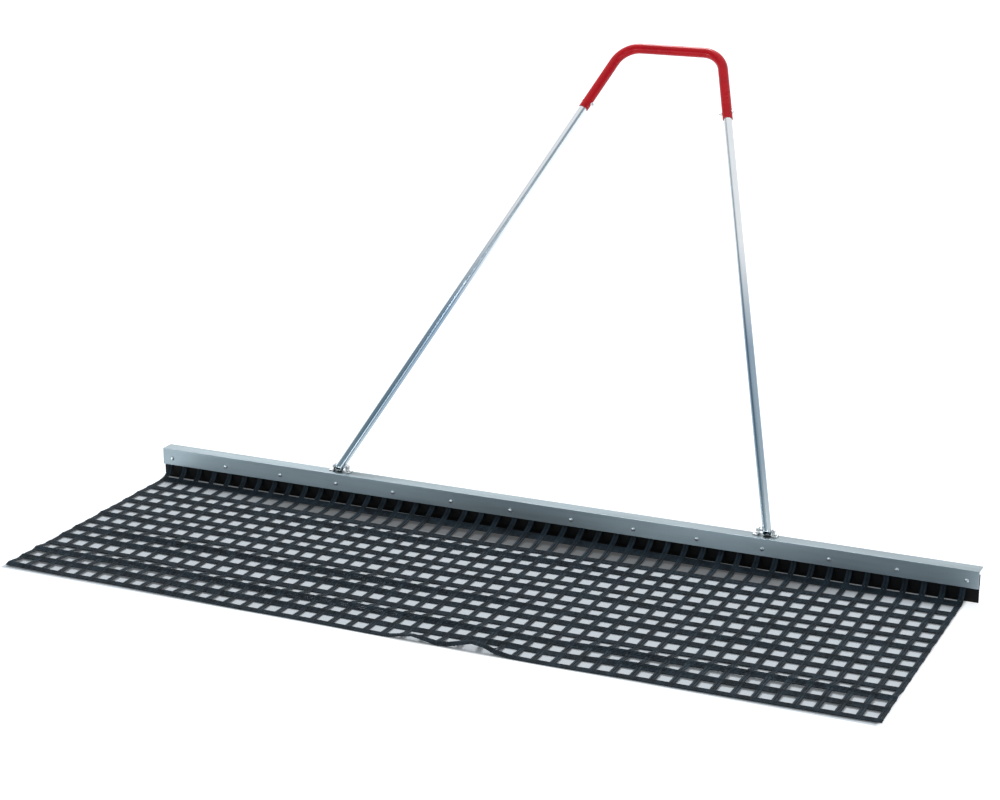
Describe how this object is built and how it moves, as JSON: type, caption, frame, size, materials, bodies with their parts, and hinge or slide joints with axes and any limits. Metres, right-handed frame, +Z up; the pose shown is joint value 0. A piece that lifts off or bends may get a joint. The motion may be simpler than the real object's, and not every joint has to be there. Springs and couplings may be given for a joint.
{
  "type": "court squeegee",
  "caption": "Drag net for levelling a clay or sand court: a long aluminium bar with a rubber strip and a trailing net, pulled by a folding handle.",
  "frame": {"origin": "on the floor, under the middle of the rubber strip that the bar stands on", "axes": "+X along the bar, +Y from the net towards the handle, +Z up"},
  "size_m": [2, 1.4757, 1.0071],
  "materials": {
    "bar": "satin mill finish",
    "leg": "bright drawn",
    "rivet": "satin",
    "fitting": "zinc plated",
    "strip": "matt black",
    "net": "coated mesh, charcoal",
    "grip": "red gloss"
  },
  "bodies": {
    "bar": {"bar_angle": "bar", "clamp_strip": "bar", "rubber_strip": "strip", "net": "net", "rivet_01": "rivet", "rivet_02": "rivet", "rivet_03": "rivet", "rivet_04": "rivet", "rivet_05": "rivet", "rivet_06": "rivet", "rivet_07": "rivet", "rivet_08": "rivet", "rivet_09": "rivet", "rivet_10": "rivet", "rivet_11": "rivet", "rivet_12": "rivet", "rivet_13": "rivet", "rivet_14": "rivet", "lug_left_outer": "fitting", "lug_left_inner": "fitting", "lug_right_inner": "fitting", "lug_right_outer": "fitting", "lug_rivet_left_outer": "rivet", "lug_rivet_left_inner": "rivet", "lug_rivet_right_inner": "rivet", "lug_rivet_right_outer": "rivet", "pivot_bolt_left": "fitting", "pivot_bolt_right": "fitting", "pivot_nut_left": "fitting", "pivot_nut_right": "fitting"},
    "handle": {"leg_left": "leg", "leg_right": "leg", "grip": "grip", "grip_bolt_left": "fitting", "grip_bolt_right": "fitting", "grip_nut_left": "fitting", "grip_nut_right": "fitting"}
  },
  "joints": [
    {"name": "handle_fold", "type": "hinge", "parent": "bar", "child": "handle", "pos_m": [0, 0.0179, 0.084], "axis": [1, 0, 0], "range_deg": [-53, 131]}
  ]
}
